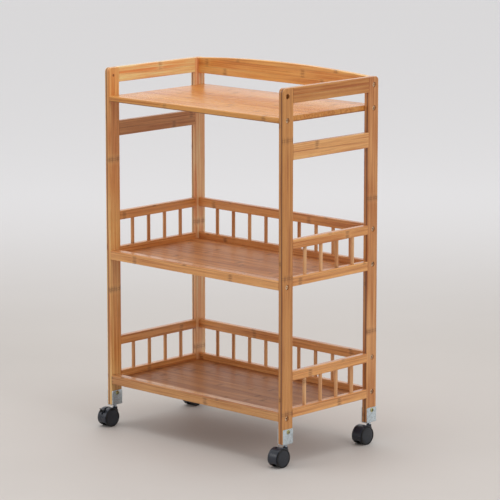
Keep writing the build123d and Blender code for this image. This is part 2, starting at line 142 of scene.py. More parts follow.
# ---- shader building ------------------------------------------------------------
class Graph:
    """A material's node tree, built one call at a time."""

    def __init__(self, name):
        self.material = bpy.data.materials.new(name)
        self.material.use_nodes = True
        self.tree = self.material.node_tree
        self.tree.nodes.clear()
        self.output = self.tree.nodes.new("ShaderNodeOutputMaterial")

    def node(self, kind, inputs=(), **settings):
        made = self.tree.nodes.new(kind)
        for key, value in settings.items():
            setattr(made, key, value)
        for key, value in dict(inputs).items():
            self.feed(made.inputs[key], value)
        return made

    def feed(self, socket, value):
        if isinstance(value, bpy.types.NodeSocket):
            self.tree.links.new(value, socket)
        else:
            socket.default_value = value

    def math(self, operation, a, b=0.0, c=0.0):
        return self.node("ShaderNodeMath", {0: a, 1: b, 2: c}, operation=operation).outputs[0]

    def xyz(self, x, y, z):
        return self.node("ShaderNodeCombineXYZ", {0: x, 1: y, 2: z}).outputs[0]

    def place(self):
        return self.node("ShaderNodeTexCoord").outputs["Object"]

    def noise(self, place, scale, detail=2.0, roughness=0.5):
        made = self.node("ShaderNodeTexNoise", {"Vector": place, "Scale": scale, "Detail": detail,
                                                "Roughness": roughness})
        return made.outputs["Fac"]

    def random(self, value):
        return self.node("ShaderNodeTexWhiteNoise", {"W": value}, noise_dimensions="1D").outputs["Value"]

    def spread(self, value, low, high, to_low=0.0, to_high=1.0):
        """Maps low..high smoothly onto to_low..to_high, clamped."""
        made = self.node("ShaderNodeMapRange", {0: value, 1: low, 2: high, 3: to_low, 4: to_high},
                         interpolation_type="SMOOTHSTEP")
        return made.outputs[0]

    def mix(self, factor, a, b):
        made = self.node("ShaderNodeMix", data_type="RGBA")
        for index, value in ((0, factor), (6, a), (7, b)):
            self.feed(made.inputs[index], value)
        return made.outputs[2]

    def bump(self, height, strength, distance):
        made = self.node("ShaderNodeBump", {"Height": height, "Strength": strength, "Distance": distance})
        return made.outputs[0]

    def finish(self, **inputs):
        named = {key.replace("_", " "): value for key, value in inputs.items()}
        shader = self.node("ShaderNodeBsdfPrincipled", named)
        self.tree.links.new(shader.outputs[0], self.output.inputs[0])
        return self.material


def rgb(red, green, blue):
    """A colour given as it looks on screen, 0 to 255."""
    def linear(value):
        value /= 255
        return value / 12.92 if value <= 0.04045 else ((value + 0.055) / 1.055) ** 2.4
    return (linear(red), linear(green), linear(blue), 1.0)


def darker(colour, factor):
    return [factor * channel for channel in colour[:3]] + [1.0]


def tinted(colour, tint):
    return [min(channel * part, 0.9) for channel, part in zip(colour, tint)] + [1.0]


# ---- bamboo -----------------------------------------------------------------------
AXES = "XYZ"
SATIN = {"rough": 0.30, "ior": 1.5, "coat": 0.22}
POLISHED = {"rough": 0.27, "ior": 1.5, "coat": 0.05}
SOFT = {"rough": 0.40, "ior": 1.32, "coat": 0.0}
RAW_WOOD = {"rough": 0.60, "ior": 1.5, "coat": 0.0}
JOINT_SPACING = 0.29          # metres between the culm joints along one strip
JOINT_LINE = (0.0020, 0.0013)   # metres from a joint's middle to a dark line, and its half width
SEAM = 0.0005                 # metres
SEAM_AND_SHADE_BASE, SEAM_AND_SHADE_PER_METRE = 0.50, 200   # a layer line's share of dark, and more per metre of width; the wider lines are the legs' dark line and the shelves' painted shade
FIBRES = {                    # waves per metre along and across the grain, detail, roughness
    "fine": (16.0, 1100.0, 3.0, 0.65), "dash": (70.0, 1900.0, 1.0, 0.5),
    "streak": (3.5, 230.0, 2.0, 0.6), "cloud": (5.0, 14.0, 2.0, 0.5),
    "wobble": (12.0, 300.0, 2.0, 0.5), "figure": (11.0, 520.0, 2.0, 0.6)}

# the tones of dark, middle and light strips
HONEY = (rgb(204, 124, 54), rgb(230, 156, 76), rgb(246, 186, 108))
CARAMEL = (rgb(192, 117, 57), rgb(222, 151, 82), rgb(244, 182, 114))
CHESTNUT = (rgb(166, 98, 50), rgb(198, 130, 74), rgb(220, 156, 98))
STRAW = (rgb(190, 124, 70), rgb(222, 164, 108), rgb(240, 192, 140))
RAW = (rgb(200, 160, 110), rgb(216, 182, 134), rgb(228, 200, 156))
TONES_AND_PAINTED_LIGHT = {                    # how a piece differs from its tones, as red, green, blue: partly its own tone, partly painted light and shade, paler where a piece stands lit and darker where it stands in shade
    "front_right_leg": (0.75, 0.68, 0.56), "back_right_leg": (0.90, 0.90, 0.98),
    "right_top_rail": (0.74, 0.68, 0.68), "right_towel_rail": (1.08, 1.12, 1.25),
    "left_top_rail": (1.50, 1.70, 2.90), "left_towel_rail": (0.84, 0.90, 1.05),
    "front_left_leg": (1.18, 1.28, 1.42), "back_left_leg": (1.50, 1.60, 2.50),
    "arched_back_rail": (1.06, 1.12, 1.20), "lower_front_bar": (0.80, 0.80, 0.80),
    "top_shelf": (0.86, 0.80, 0.70), "middle_shelf": (0.98, 0.97, 0.86),
    "lower_shelf": (0.68, 0.64, 0.50)}

# metres
LEG_STRIP, RAIL_STRIP, SHELF_STRIP = 0.0400, 0.0172, 0.0195
THIN_LAYER, THICK_LAYER = 0.0062, 0.0125
LEG_LINE_PLACE = 0.0085             # from a leg's inner face to the dark line down its front
LEG_LINE_WIDTH = 0.0021
SHELF_SHADE_LINE = 0.0012           # painted shade just above a shelf's lower edge, where its rounded underside edge turns from the light: its height and width
WHOLE = 0.05                  # a strip wide enough to leave no seam in a dowel
SPINDLE_PITCH = 0.05
SEED_STEP = 1.618


def bamboo(name, grain, across, origin, strip, layer, tones, seed, seam_and_shade_width=SEAM, finish=SATIN):
    """Laminated bamboo with its fibres along the grain axis.

    Strips of the given width lie side by side along the across axis, and layers along the third
    one, with dark lines of the given line width between the layers: glue seams on most pieces,
    painted shade just above a shelf's lower edge. Strips and layers are counted from origin.
    """
    g = Graph(name)
    split = g.node("ShaderNodeSeparateXYZ", {0: g.place()})
    third = AXES[3 - AXES.index(grain) - AXES.index(across)]
    u = split.outputs[AXES.index(grain)]
    v = g.math("SUBTRACT", split.outputs[AXES.index(across)], origin[AXES.index(across)])
    w = g.math("SUBTRACT", split.outputs[AXES.index(third)], origin[AXES.index(third)])

    def lanes(distance, width, line):
        lane = g.math("MULTIPLY", distance, 1 / width)
        index = g.math("FLOOR", lane)
        inside = g.math("SUBTRACT", lane, index)
        edge = g.math("MINIMUM", inside, g.math("SUBTRACT", 1.0, inside))
        return index, g.spread(g.math("MULTIPLY", edge, width), line / 2, line, 1.0, 0.0)

    strip_index, strip_seam = lanes(v, strip, SEAM)
    layer_index, layer_seam_and_shade = lanes(w, layer, seam_and_shade_width)
    piece = g.math("MULTIPLY_ADD", layer_index, 17.0, strip_index)
    pick = g.random(g.math("ADD", piece, seed * 13.7))
    pick_b = g.random(g.math("ADD", piece, seed * 5.1 + 40.5))
    shift = g.math("MULTIPLY", pick, 9.0)

    def fibres(along, sideways, detail, roughness):
        return g.noise(g.xyz(g.math("MULTIPLY_ADD", u, along, shift), g.math("MULTIPLY", v, sideways),
                             g.math("MULTIPLY", w, sideways)), 1.0, detail, roughness)

    fine, dash, streak, cloud, wobble, figure = (fibres(*row) for row in FIBRES.values())

    # culm joints: two dark lines across a strip, in a paler swelling with scorched streaks
    step = g.math("MULTIPLY_ADD", u, 1 / JOINT_SPACING, g.math("MULTIPLY", pick_b, 6.0))
    step = g.math("MULTIPLY_ADD", wobble, 0.014, step)
    beat = g.math("ABSOLUTE", g.math("SUBTRACT", g.math("FRACT", step), 0.5))
    away = g.math("MULTIPLY", beat, JOINT_SPACING)
    offset, half = JOINT_LINE
    line = g.spread(g.math("ABSOLUTE", g.math("SUBTRACT", away, offset)), 0.0, half, 1.0, 0.0)
    halo = g.spread(away, 0.002, 0.016, 1.0, 0.0)
    flame = g.math("MULTIPLY", g.spread(away, 0.001, 0.011, 1.0, 0.0), g.spread(figure, 0.36, 0.58))

    # each piece's tones take its tint, which holds painted light and shade
    dark, middle, light = (tinted(tone, TONES_AND_PAINTED_LIGHT.get(name, (1, 1, 1))) for tone in tones)
    colour = g.mix(pick, dark, light)
    colour = g.mix(0.5, colour, middle)
    red = tinted(dark, (0.80, 0.62, 0.50))
    stains = (                # fibres, their low and high, the stain's share at each, its colour
        (streak, 0.48, 0.66, 0.0, 0.65, red), (streak, 0.34, 0.50, 0.75, 0.0, light),
        (figure, 0.52, 0.70, 0.0, 0.45, red), (cloud, 0.42, 0.62, 0.0, 0.40, light),
        (fine, 0.50, 0.76, 0.0, 0.40, darker(dark, 0.55)),
        (dash, 0.62, 0.76, 0.0, 0.30, darker(dark, 0.35)))
    for source, low, high, least, most, stain in stains:
        colour = g.mix(g.spread(source, low, high, least, most), colour, stain)
    # layer lines: glue seams on most pieces, painted shade just above a shelf's lower edge
    seam_and_shade_share = SEAM_AND_SHADE_BASE + SEAM_AND_SHADE_PER_METRE * (seam_and_shade_width - SEAM)
    marks = (
        (halo, 0.30, light), (flame, 0.60, darker(red, 0.55)), (line, 0.38, darker(dark, 0.32)),
        (strip_seam, 0.38, darker(dark, 0.40)), (layer_seam_and_shade, seam_and_shade_share, darker(red, 0.40)))
    for mark, share, stain in marks:
        colour = g.mix(g.math("MULTIPLY", mark, share), colour, stain)

    rough = g.math("ADD", g.spread(fine, 0.3, 0.75, finish["rough"] - 0.04, finish["rough"] + 0.10),
                   g.math("MULTIPLY", line, 0.10))
    height = g.math("MULTIPLY_ADD", fine, -0.30, g.math("MULTIPLY", halo, 0.5))
    height = g.math("MULTIPLY_ADD", g.math("MAXIMUM", strip_seam, layer_seam_and_shade), -0.8, height)
    return g.finish(Base_Color=colour, Roughness=rough, Normal=g.bump(height, 0.30, 0.0004),
                    IOR=finish["ior"], Coat_Weight=finish["coat"], Coat_Roughness=0.16)


def dress(node, material):
    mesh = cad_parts[node].data
    mesh.materials.clear()
    mesh.materials.append(material)


def dress_bamboo():
    """Every bamboo node in its own cut of bamboo, with the grain along its length."""
    seed = 1.0
    for node in NODES:
        low, high = low_high(node)
        size = high - low
        seed += SEED_STEP
        if node.endswith("_leg"):
            near = low.x if low.x > 0 else high.x
            origin = Vector((near + math.copysign(LEG_LINE_PLACE, low.x), low.y - 0.001, low.z))
            dress(node, bamboo(node, "Z", "Y", origin, LEG_STRIP, THICK_LAYER, CARAMEL, seed,
                               seam_and_shade_width=LEG_LINE_WIDTH))
        elif node.endswith(("_rail", "_bar")):
            grain = "X" if size.x > size.y else "Y"
            origin = low - Vector((0.0020, 0.0020, 0.0010))
            tones = HONEY if "top" in node or "arched" in node else CARAMEL
            dress(node, bamboo(node, grain, "Z", origin, RAIL_STRIP, THIN_LAYER, tones, seed))
        elif node.endswith("_shelf"):
            # the shelf's lowest layer line sits just above its lower edge as painted shade
            origin = low - Vector((0, 0.004, -SHELF_SHADE_LINE))
            tones = HONEY if node == "top_shelf" else CHESTNUT
            finish = POLISHED if node == "top_shelf" else SOFT
            dress(node, bamboo(node, "X", "Y", origin, SHELF_STRIP, THICK_LAYER, tones, seed,
                               SHELF_SHADE_LINE, finish))
        elif node == "rail_dowels":
            dress(node, bamboo(node, "Y", "Z", low, WHOLE, WHOLE, RAW, seed, finish=RAW_WOOD))


# ---- plastics and metals -------------------------------------------------------------
def nylon(name, colour, roughness):
    """Moulded plastic: fine spark-eroded grain, faint flow clouds and a few scuffs."""
    g = Graph(name)
    place = g.place()
    grain = g.noise(place, 3200.0, 2.0, 0.6)
    flow = g.noise(place, 70.0, 2.0, 0.5)
    scuff = g.noise(place, 420.0, 4.0, 0.7)
    tone = g.mix(g.spread(flow, 0.35, 0.7, 0.0, 0.5), colour, darker(colour, 1.5))
    tone = g.mix(g.spread(scuff, 0.62, 0.75, 0.0, 0.5), tone, darker(colour, 3.2))
    rough = g.math("ADD", g.spread(flow, 0.3, 0.7, roughness - 0.04, roughness + 0.05),
                   g.spread(scuff, 0.60, 0.75, 0.0, 0.15))
    return g.finish(Base_Color=tone, Roughness=rough, Normal=g.bump(grain, 0.20, 0.0001), IOR=1.5)


def metal(name, colour, patina, roughness, grain_scale=900.0):
    """Plated steel: cloudy passivation colours over a fine crystalline surface."""
    g = Graph(name)
    place = g.place()
    cloud = g.noise(place, 130.0, 3.0, 0.6)
    spangle = g.noise(place, grain_scale, 2.0, 0.5)
    spot = g.noise(place, 520.0, 2.0, 0.6)
    tone = g.mix(g.spread(cloud, 0.38, 0.64), colour, patina)
    tone = g.mix(g.spread(spot, 0.60, 0.72, 0.0, 0.35), tone, darker(colour, 0.45))
    rough = g.math("ADD", g.spread(spangle, 0.3, 0.7, roughness - 0.06, roughness + 0.10),
                   g.spread(spot, 0.60, 0.72, 0.0, 0.12))
    return g.finish(Base_Color=tone, Metallic=1.0, Roughness=rough,
                    Normal=g.bump(spangle, 0.12, 0.0001))


TYRE = nylon("tyre", (0.004, 0.004, 0.005, 1.0), 0.42)
CAP = nylon("wheel_cap", (0.016, 0.020, 0.028, 1.0), 0.32)
HOOD = nylon("hood", (0.018, 0.023, 0.035, 1.0), 0.28)
LEVER = nylon("lever", (0.004, 0.004, 0.005, 1.0), 0.40)
ZINC = metal("zinc_plate", (0.72, 0.84, 0.92, 1.0), (0.58, 0.68, 0.74, 1.0), 0.28)
YELLOW_ZINC = metal("yellow_zinc", (0.60, 0.54, 0.26, 1.0), (0.34, 0.38, 0.18, 1.0), 0.24, 1400.0)
# dark zinc painted into the screws' cross recesses as shade
RECESS_SHADE_ZINC = metal("recess_shade_zinc", (0.10, 0.09, 0.04, 1.0), (0.05, 0.06, 0.03, 1.0), 0.50, 1400.0)
BRONZE = metal("bronzed_steel", (0.92, 0.74, 0.54, 1.0), (0.66, 0.48, 0.32, 1.0), 0.40, 1400.0)
STEEL = metal("turned_steel", (0.60, 0.66, 0.74, 1.0), (0.44, 0.50, 0.58, 1.0), 0.22)


# ---- mesh building ------------------------------------------------------------------
CREASE = 32                   # degrees between faces from which an edge is drawn sharp


def soften(corners, steps=4):
    """A polyline through corners (u, v) or (u, v, radius), rounded where a radius is given."""
    points = [Vector(c[:2]) for c in corners]
    path = []
    for i, corner in enumerate(corners):
        radius = corner[2] if len(corner) > 2 else 0
        if not radius or i in (0, len(corners) - 1):
            path.append(points[i])
            continue
        back, ahead = points[i - 1] - points[i], points[i + 1] - points[i]
        reach = min(radius / max(math.tan(back.angle(ahead) / 2), 0.05), back.length / 2, ahead.length / 2)
        start, end = points[i] + back.normalized() * reach, points[i] + ahead.normalized() * reach
        for step in range(steps + 1):
            t = step / steps
            path.append(start * (1 - t) ** 2 + points[i] * 2 * t * (1 - t) + end * t ** 2)
    return path


def lathe(bm, profile, matrix, segments=48, paint_from=None):
    """Turns profile (height, radius) in millimetres about the matrix's Z axis.

    The faces from profile point paint_from on take the piece's second material.
    """
    rings = []
    for height, radius in profile:
        if radius < 1e-6:
            rings.append([bm.verts.new(matrix @ Vector((0, 0, height)))])
            continue
        turns = [2 * math.pi * i / segments for i in range(segments)]
        rings.append([bm.verts.new(matrix @ Vector((radius * math.cos(a), radius * math.sin(a), height)))
                      for a in turns])
    for index, (one, two) in enumerate(zip(rings, rings[1:])):
        for i in range(segments):
            j = (i + 1) % segments
            if len(one) == 1:
                corners = [one[0], two[i], two[j]]
            elif len(two) == 1:
                corners = [one[i], two[0], one[j]]
            else:
                corners = [one[i], two[i], two[j], one[j]]
            if len(set(corners)) < 3 or (len(one) == 1 and len(two) == 1):
                continue
            face = bm.faces.new(corners)
            face.material_index = int(paint_from is not None and index >= paint_from)


def bevel_sharp(bm, width, segments=2, angle=30):
    """Rounds the edges whose faces meet at more than angle degrees."""
    sharp = [e for e in bm.edges if len(e.link_faces) == 2 and e.calc_face_angle(0) > math.radians(angle)]
    bmesh.ops.bevel(bm, geom=sharp, offset=width, segments=segments, profile=0.5, affect="EDGES",
                    clamp_overlap=True)


def prism(outline, matrix, thickness, bevel):
    """A plate with the given outline (u, v) in millimetres, centred on the matrix's XY plane."""
    bm = bmesh.new()
    sides = [[bm.verts.new(matrix @ Vector((u, v, s * thickness / 2))) for u, v in outline]
             for s in (-1, 1)]
    bm.faces.new(sides[0])
    bm.faces.new(reversed(sides[1]))
    count = len(outline)
    for i in range(count):
        j = (i + 1) % count
        bm.faces.new([sides[0][i], sides[1][i], sides[1][j], sides[0][j]])
    bmesh.ops.recalc_face_normals(bm, faces=bm.faces)
    bevel_sharp(bm, bevel * MM)
    return bm


def merge(parts):
    """One mesh of all the parts, which are freed."""
    bm = bmesh.new()
    for part in parts:
        mesh = bpy.data.meshes.new("part")
        part.to_mesh(mesh)
        part.free()
        bm.from_mesh(mesh)
        bpy.data.meshes.remove(mesh)
    return bm


def carve(solid, cutter):
    """solid without cutter, as a mesh."""
    objects = []
    for bm in (solid, cutter):
        bmesh.ops.recalc_face_normals(bm, faces=bm.faces)
        mesh = bpy.data.meshes.new("part")
        bm.to_mesh(mesh)
        bm.free()
        objects.append(bpy.data.objects.new("part", mesh))
        bpy.context.scene.collection.objects.link(objects[-1])
    body, tool = objects
    step = body.modifiers.new("carve", "BOOLEAN")
    step.operation = "DIFFERENCE"
    step.solver = "EXACT"
    step.object = tool
    result = bpy.data.meshes.new_from_object(body.evaluated_get(bpy.context.evaluated_depsgraph_get()))
    for thing in objects:
        mesh = thing.data
        bpy.data.objects.remove(thing)
        bpy.data.meshes.remove(mesh)
    return result


def add_piece(name, bm, body, node, slot, *materials):
    """A visible piece that rides on body and takes the place of the CAD's node."""
    bmesh.ops.recalc_face_normals(bm, faces=bm.faces)
    mesh = bpy.data.meshes.new(name)
    bm.to_mesh(mesh)
    bm.free()
    for material in materials:
        mesh.materials.append(material)
    mesh.shade_smooth()
    mesh.set_sharp_from_angle(angle=math.radians(CREASE))
    piece = bpy.data.objects.new(name, mesh)
    bpy.context.scene.collection.objects.link(piece)
    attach(piece, body)
    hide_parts(node)


def placed(x, y, z, axis="Z"):
    """Millimetres at (x, y, z) metres; local Z points along axis: Z, +X or -X."""
    turn = {"Z": Matrix.Identity(4), "+X": Matrix.Rotation(math.pi / 2, 4, "Y"),
            "-X": Matrix.Rotation(-math.pi / 2, 4, "Y")}[axis]
    return Matrix.Translation((x, y, z)) @ turn @ Matrix.Scale(MM, 4)


def side_plane(x, y, z):
    """Millimetres at (x, y, z) metres, with local XY as the frame's YZ plane."""
    basis = Matrix(((0, 0, 1), (1, 0, 0), (0, 1, 0))).to_4x4()
    return Matrix.Translation((x, y, z)) @ basis @ Matrix.Scale(MM, 4)


# ---- casters -------------------------------------------------------------------------
WHEEL_PROFILE = [
    (12.3, 0), (12.3, 2.55), (5.1, 2.55), (5.1, 7.0, 0.4), (8.6, 7.0, 0.4), (8.6, 15.5, 0.5),
    (5.1, 15.5, 0.4), (5.1, 20.0, 0.9), (8.85, 20.0, 0.1), (9.0, 19.8, 0.05), (9.15, 20.0, 0.1),
    (14.4, 20.0, 2.2), (14.4, 17.6, 0.3), (13.4, 17.4), (13.4, 16.7), (14.0, 16.4, 0.4), (14.35, 14.2),
    (14.62, 11.0), (14.80, 8.0), (14.88, 5.6, 0.2), (14.74, 5.3, 0.1), (14.74, 5.1, 0.1),
    (14.92, 4.8, 0.2), (14.98, 2.4), (15.0, 0)]
CAP_START = 13.4
COLLAR_PROFILE = [
    (29.5, 0), (29.5, 4.4), (33.2, COLLAR_RADIUS, 0.6), (36.0, COLLAR_RADIUS, 0.2), (36.3, 5.2, 0.1),
    (36.9, 5.2, 0.1), (37.2, COLLAR_RADIUS, 0.2), (40.0, COLLAR_RADIUS, 0.9), (40.0, 3.4, 0.1),
    (38.5, 3.05), (38.5, 0)]
STEM_PROFILE = [
    (14.5, 0), (14.5, 2.4), (15.2, 3.0), (40.3, 3.0), (40.3, 4.25, 0.3), (41.6, 4.25, 0.4),
    (42.2, 3.7, 0.3), (45.4, 3.7), (45.4, 3.0), (67.4, 3.0), (68.0, 2.4), (68.0, 0)]
LEVER_ARM = [
    (-18, 31.4), (-16.2, 32), (-15, 34), (-16.2, 36), (-18, 36.7), (-27, 38), (-36.2, 38.6),
    (-36.4, 36.4), (-27, 34.4)]


def add_wheels(prefix):
    """The twin wheels: a black tyre ring round a domed, slightly lighter cap."""
    x, _ = swivel(prefix)
    outward = 1 if x > 0 else -1
    profile = soften(WHEEL_PROFILE)
    cap_from = next(i for i, p in enumerate(profile) if abs(p.x - CAP_START) < 1e-6 and p.y > 10)
    for kind, way in (("outer", outward), ("inner", -outward)):
        node = f"{prefix}_{kind}_wheel"
        middle = centre(node)
        bm = bmesh.new()
        lathe(bm, profile, placed(x, middle.y, middle.z, "+X" if way > 0 else "-X"),
              segments=72, paint_from=cap_from)
        add_piece(f"{node}_moulded", bm, node, node, "wheel_plastic", TYRE, CAP)


def polar(angle, radius):
    return radius * math.cos(math.radians(angle)), radius * math.sin(math.radians(angle))


def hood_band(matrix, braked):
    """The cover over the treads, open at the lever's slot and window."""
    start, stop = HOOD_ARC
    stops = set(SLOT_ARC) | set(WINDOW_ARC) if braked else set()
    angles = sorted(set(range(start, stop + 1, HOOD_STEP)) | {stop} | stops)
    sides = sorted([s * v for s in (-1, 1) for v in HOOD_COLUMNS] + [0])

    def shown(i, j):
        if not (0 <= i < len(angles) - 1 and 0 <= j < len(sides) - 1):
            return False
        angle, side = (angles[i] + angles[i + 1]) / 2, abs(sides[j] + sides[j + 1]) / 2
        slot = side < SLOT_HALF and SLOT_ARC[0] < angle < SLOT_ARC[1]
        window = side < WINDOW_HALF and WINDOW_ARC[0] < angle < WINDOW_ARC[1]
        return not (braked and (slot or window))

    bm = bmesh.new()
    made = {}

    def vert(i, j, layer):
        if (i, j, layer) not in made:
            crown = HOOD_CROWN * (abs(sides[j]) / HOOD_HALF) ** 6
            radius = HOOD_RADIUS - crown if layer else HOOD_RADIUS - HOOD_WALL
            made[i, j, layer] = bm.verts.new(matrix @ Vector((*polar(angles[i], radius), sides[j])))
        return made[i, j, layer]

    for i in range(len(angles) - 1):
        for j in range(len(sides) - 1):
            if not shown(i, j):
                continue
            for layer in (0, 1):
                bm.faces.new([vert(i, j, layer), vert(i + 1, j, layer), vert(i + 1, j + 1, layer),
                              vert(i, j + 1, layer)])
            edges = (((i - 1, j), (i, j), (i, j + 1)), ((i + 1, j), (i + 1, j), (i + 1, j + 1)),
                     ((i, j - 1), (i, j), (i + 1, j)), ((i, j + 1), (i, j + 1), (i + 1, j + 1)))
            for beyond, one, two in edges:
                if not shown(*beyond):
                    bm.faces.new([vert(*one, 0), vert(*two, 0), vert(*two, 1), vert(*one, 1)])
    bmesh.ops.recalc_face_normals(bm, faces=bm.faces)
    bevel_sharp(bm, EDGE["hood"] * MM, angle=50)
    return bm


def web_outline(axle_y, axle_z, corner=None, gap=None):
    """The web between the wheels, about the axle, with a notch at corner over the gap's angles."""
    inside = HOOD_RADIUS - HOOD_WALL / 2

    def arc(start, stop, radius):
        count = max(2, round(abs(stop - start) / WEB_STEP))
        return [polar(start + (stop - start) * i / count, radius) for i in range(count + 1)]

    if corner:
        notch = (corner[0] - axle_y, corner[1] - axle_z)
        over = arc(HOOD_ARC[0], gap[0], inside) + [notch] + arc(gap[1], HOOD_ARC[1], inside)
    else:
        over = arc(HOOD_ARC[0], HOOD_ARC[1], inside)
    under = arc(HOOD_ARC[1] + HOOD_STEP, WEB_END, WEB_RADIUS)
    neck = [(u - axle_y, v - axle_z) for u, v in NECK]
    return over + under + neck


def add_housing(prefix):
    """The hood, the web between the wheels and the collar round the stem."""
    x, y = swivel(prefix)
    node = f"{prefix}_caster_housing"
    axle = centre(f"{prefix}_outer_wheel")
    braked = f"{prefix}_brake_lever" in NODES
    about_axle = side_plane(x, axle.y, axle.z)
    reach = ((axle.y - y) / MM, axle.z / MM)
    parts = [hood_band(about_axle, braked)]
    if braked:
        cheek = WEB_THICK / 2 - SLOT_HALF
        for way in (-1, 1):
            plane = side_plane(x + way * (SLOT_HALF + cheek / 2) * MM, axle.y, axle.z)
            outline = web_outline(*reach, WINDOW_CORNER, WINDOW_ARC)
            parts.append(prism(outline, plane, cheek, EDGE["cheek"]))
        outline = web_outline(*reach, SLOT_CORNER, SLOT_ARC)
        parts.append(prism(outline, about_axle, 2 * SLOT_HALF, EDGE["slot"]))
    else:
        parts.append(prism(web_outline(*reach), about_axle, WEB_THICK, EDGE["web"]))
    collar = bmesh.new()
    lathe(collar, soften(COLLAR_PROFILE), placed(x, y, 0))
    parts.append(collar)
    add_piece(f"{node}_moulded", merge(parts), f"{prefix}_caster", node, "housing_plastic", HOOD)


def add_lever(prefix):
    """The foot lever: an arm in the hood's slot and a pad whose two ends flare up."""
    node = f"{prefix}_brake_lever"
    if node not in NODES:
        return
    x, y = swivel(prefix)
    arm = prism(LEVER_ARM, side_plane(x, y, 0), LEVER_WIDTH, EDGE["arm"])
    pad = bmesh.new()
    at_swivel = placed(x, y, 0)
    rings = []
    for t in [i / PAD_STEPS for i in range(-PAD_STEPS, PAD_STEPS + 1)]:
        flare = abs(t) ** 1.4
        rise = PAD_UNDERSIDE[0] + PAD_UNDERSIDE[1] * flare
        front = PAD_FRONT[0] + PAD_FRONT[1] * flare
        back = PAD_BACK[0] + PAD_BACK[1] * abs(t) ** 1.2
        thick = PAD_THICK[0] + PAD_THICK[1] * abs(t)
        corners = [(front, rise), (back, rise + PAD_TILT), (back, rise + PAD_TILT + thick),
                   (front, rise + thick)]
        rings.append([pad.verts.new(at_swivel @ Vector((PAD_HALF * t, v, z))) for v, z in corners])
    for one, two in zip(rings, rings[1:]):
        for i in range(4):
            pad.faces.new([one[i], two[i], two[(i + 1) % 4], one[(i + 1) % 4]])
    pad.faces.new(rings[0])
    pad.faces.new(reversed(rings[-1]))
    bmesh.ops.recalc_face_normals(pad, faces=pad.faces)
    bevel_sharp(pad, EDGE["pad"] * MM, 3)
    add_piece(f"{node}_moulded", merge([arm, pad]), node, node, "lever_plastic", LEVER)


def add_stems():
    """All four stems, with their shoulders under the brackets."""
    bm = bmesh.new()
    for prefix in CASTERS:
        x, y = swivel(prefix)
        lathe(bm, soften(STEM_PROFILE), placed(x, y, 0), segments=32)
    add_piece("caster_stems_turned", bm, "cart_frame", "caster_stems", "pin_steel", STEEL)


# ---- brackets, screws and bolts ---------------------------------------------------------
def add_bracket(prefix):
    """Sheet bent into a U, with rounded upper corners."""
    node = f"{prefix}_bracket"
    low, high = low_high(node)
    middle = (low + high) / 2
    half, height = (high.x - low.x) / 2 / MM - PLATE / 2, (high.z - low.z) / MM
    depth = (high.y - low.y) / 2 / MM
    corner, bend = PLATE_CORNER, PLATE_BEND
    upright = [(half, height - drop) for drop in PLATE_DROPS]
    rounded = [(half - bend + bend * math.cos(a), PLATE / 2 + bend - bend * math.sin(a))
               for a in [math.pi / 2 * i / BEND_STEPS for i in range(BEND_STEPS + 1)]]
    one_side = upright + rounded
    path = one_side + [(-u, v) for u, v in reversed(one_side)]
    matrix = Matrix.Translation((middle.x, middle.y, low.z)) @ Matrix.Scale(MM, 4)
    bm = bmesh.new()
    count = len(path)
    grid = []
    for i, (u, v) in enumerate(path):
        ahead, back = Vector(path[min(i + 1, count - 1)]), Vector(path[max(i - 1, 0)])
        along = (ahead - back).normalized()
        out = Vector((-along.y, along.x)) * PLATE / 2
        drop = height - v
        cut = corner - math.sqrt(corner ** 2 - (corner - drop) ** 2) if drop < corner else 0
        reach = depth - cut
        places = [(s * side, layer) for s in (-1, 1) for side, layer in ((reach, s), (reach, -s))]
        grid.append([bm.verts.new(matrix @ Vector((u + w * out.x, across, v + w * out.y)))
                     for across, w in places])
    for one, two in zip(grid, grid[1:]):
        for i in range(4):
            bm.faces.new([one[i], two[i], two[(i + 1) % 4], one[(i + 1) % 4]])
    bm.faces.new(grid[0])
    bm.faces.new(reversed(grid[-1]))
    bmesh.ops.recalc_face_normals(bm, faces=bm.faces)
    bevel_sharp(bm, EDGE["plate"] * MM, angle=60)
    add_piece(f"{node}_pressed", bm, "cart_frame", node, "zinc_plate", ZINC)


def scatter(shape, places):
    """Copies of a mesh at each matrix, as one mesh; the original is removed."""
    bm = bmesh.new()
    for matrix in places:
        before = len(bm.verts)
        bm.from_mesh(shape)
        bm.verts.ensure_lookup_table()
        bmesh.ops.transform(bm, matrix=matrix, verts=bm.verts[before:])
    bpy.data.meshes.remove(shape)
    return bm


SCREW_PROFILE = [
    (-7.1, 0), (-5.4, 1.75), (0, 1.75), (0, 4.75, 0.1), (0.5, 4.75, 0.4), (1.7, 4.0, 0.8),
    (2.3, 2.2, 1.0), (SCREW_TOP, 0)]
RECESS_REACH = 2.55           # from a screw's axis to the end of its cross recess
RECESS_SHADE = (0.2, 2.15)           # heights between which the recess is painted dark as shade
SCREW_TURN = (25, 47)         # degrees: the first caster's screws, and the step to the next


